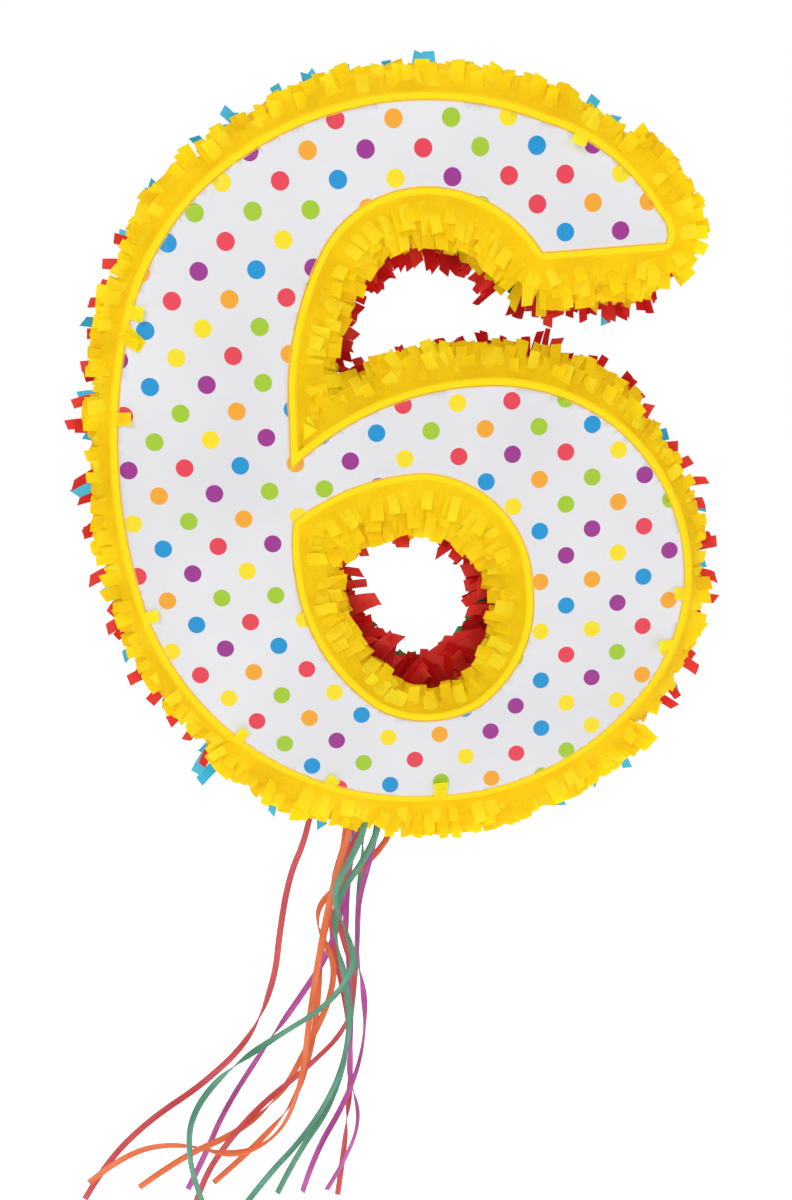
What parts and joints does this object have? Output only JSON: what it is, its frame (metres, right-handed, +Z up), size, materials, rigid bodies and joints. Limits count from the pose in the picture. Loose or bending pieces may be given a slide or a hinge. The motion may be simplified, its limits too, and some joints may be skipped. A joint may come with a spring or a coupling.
{
  "type": "pinata",
  "caption": "Hanging pull-string pinata in the shape of the digit six, a tissue-fringed card box with spotted faces, a trapdoor and trailing ribbons",
  "frame": {"origin": "the hang point, on the outer face of the top wall midway between the two holes for the hanging cord", "axes": "+Z up, the printed front faces -Y, +X to the right seen from the front"},
  "size_m": [0.5081, 0.0848, 0.9129],
  "materials": {
    "corrugated_card": "matte",
    "gummed_tape": "satin",
    "printed_sheet": "satin",
    "tissue_yellow": "matte",
    "tissue_red": "matte",
    "tissue_green": "matte",
    "tissue_blue": "matte",
    "ribbon_red": "satin",
    "ribbon_orange": "satin",
    "ribbon_green": "satin",
    "ribbon_magenta": "satin"
  },
  "bodies": {
    "shell": {"top_wall": "corrugated_card", "left_wall": "corrugated_card", "bottom_wall": "corrugated_card", "right_wall": "corrugated_card", "bowl_top_wall": "corrugated_card", "counter_wall": "corrugated_card", "arm_under_wall": "corrugated_card", "hole_wall_upper": "corrugated_card", "hole_wall_lower": "corrugated_card", "front_card": "corrugated_card", "back_card": "corrugated_card", "hanger_doubler": "corrugated_card", "front_sheet": "printed_sheet", "back_sheet": "printed_sheet", "outer_front_tape": "gummed_tape", "outer_back_tape": "gummed_tape", "hole_front_tape": "gummed_tape", "hole_back_tape": "gummed_tape", "outer_band_yellow_front": "tissue_yellow", "outer_band_yellow_second": "tissue_yellow", "outer_band_red": "tissue_red", "outer_band_green": "tissue_green", "outer_band_blue": "tissue_blue", "hole_band_yellow_front": "tissue_yellow", "hole_band_yellow_second": "tissue_yellow", "hole_band_red": "tissue_red", "hole_band_green": "tissue_green", "hole_band_blue": "tissue_blue"},
    "trapdoor_flap": {"trapdoor": "corrugated_card", "pull_ribbon_stop": "corrugated_card", "trapdoor_band_yellow_second": "tissue_yellow", "trapdoor_band_red": "tissue_red", "trapdoor_band_green": "tissue_green"},
    "filling_flap": {"fill_flap": "corrugated_card", "fill_flap_sheet": "printed_sheet", "fill_flap_tab": "gummed_tape"},
    "pull_ribbon_cord": {"pull_ribbon": "ribbon_orange"},
    "dummy_ribbon_red_1_cord": {"dummy_ribbon_red_1": "ribbon_red"},
    "dummy_ribbon_orange_1_cord": {"dummy_ribbon_orange_1": "ribbon_orange"},
    "dummy_ribbon_green_1_cord": {"dummy_ribbon_green_1": "ribbon_green"},
    "dummy_ribbon_green_2_cord": {"dummy_ribbon_green_2": "ribbon_green"},
    "dummy_ribbon_magenta_1_cord": {"dummy_ribbon_magenta_1": "ribbon_magenta"},
    "dummy_ribbon_red_2_cord": {"dummy_ribbon_red_2": "ribbon_red"},
    "dummy_ribbon_orange_2_cord": {"dummy_ribbon_orange_2": "ribbon_orange"},
    "dummy_ribbon_green_3_cord": {"dummy_ribbon_green_3": "ribbon_green"},
    "dummy_ribbon_magenta_2_cord": {"dummy_ribbon_magenta_2": "ribbon_magenta"},
    "dummy_ribbon_red_3_cord": {"dummy_ribbon_red_3": "ribbon_red"},
    "dummy_ribbon_magenta_3_cord": {"dummy_ribbon_magenta_3": "ribbon_magenta"}
  },
  "joints": [
    {"name": "trapdoor_hinge", "type": "hinge", "parent": "shell", "child": "trapdoor_flap", "pos_m": [0.035, 0, -0.49334], "axis": [0, -1, 0], "range_deg": [0, 95]},
    {"name": "pull_ribbon_swing", "type": "hinge", "parent": "trapdoor_flap", "child": "pull_ribbon_cord", "pos_m": [-0.029, 0, -0.49901], "axis": [0, -1, 0], "range_deg": [-95, 0]},
    {"name": "filling_flap_hinge", "type": "hinge", "parent": "shell", "child": "filling_flap", "pos_m": [-0.175, 0.04, -0.17351], "axis": [0, 0, 1], "range_deg": [0, 120]},
    {"name": "dummy_ribbon_red_1_pull", "type": "slide", "parent": "shell", "child": "dummy_ribbon_red_1_cord", "axis": [0, 0, -1], "range_m": [0, 0.03]},
    {"name": "dummy_ribbon_orange_1_pull", "type": "slide", "parent": "shell", "child": "dummy_ribbon_orange_1_cord", "axis": [0, 0, -1], "range_m": [0, 0.03]},
    {"name": "dummy_ribbon_green_1_pull", "type": "slide", "parent": "shell", "child": "dummy_ribbon_green_1_cord", "axis": [0, 0, -1], "range_m": [0, 0.03]},
    {"name": "dummy_ribbon_green_2_pull", "type": "slide", "parent": "shell", "child": "dummy_ribbon_green_2_cord", "axis": [0, 0, -1], "range_m": [0, 0.03]},
    {"name": "dummy_ribbon_magenta_1_pull", "type": "slide", "parent": "shell", "child": "dummy_ribbon_magenta_1_cord", "axis": [0, 0, -1], "range_m": [0, 0.03]},
    {"name": "dummy_ribbon_red_2_pull", "type": "slide", "parent": "shell", "child": "dummy_ribbon_red_2_cord", "axis": [0, 0, -1], "range_m": [0, 0.03]},
    {"name": "dummy_ribbon_orange_2_pull", "type": "slide", "parent": "shell", "child": "dummy_ribbon_orange_2_cord", "axis": [0, 0, -1], "range_m": [0, 0.03]},
    {"name": "dummy_ribbon_green_3_pull", "type": "slide", "parent": "shell", "child": "dummy_ribbon_green_3_cord", "axis": [0, 0, -1], "range_m": [0, 0.03]},
    {"name": "dummy_ribbon_magenta_2_pull", "type": "slide", "parent": "shell", "child": "dummy_ribbon_magenta_2_cord", "axis": [0, 0, -1], "range_m": [0, 0.03]},
    {"name": "dummy_ribbon_red_3_pull", "type": "slide", "parent": "shell", "child": "dummy_ribbon_red_3_cord", "axis": [0, 0, -1], "range_m": [0, 0.03]},
    {"name": "dummy_ribbon_magenta_3_pull", "type": "slide", "parent": "shell", "child": "dummy_ribbon_magenta_3_cord", "axis": [0, 0, -1], "range_m": [0, 0.03]}
  ],
  "couplings": [
    {"joint": "pull_ribbon_swing", "follows": "trapdoor_hinge", "ratio": -1}
  ]
}
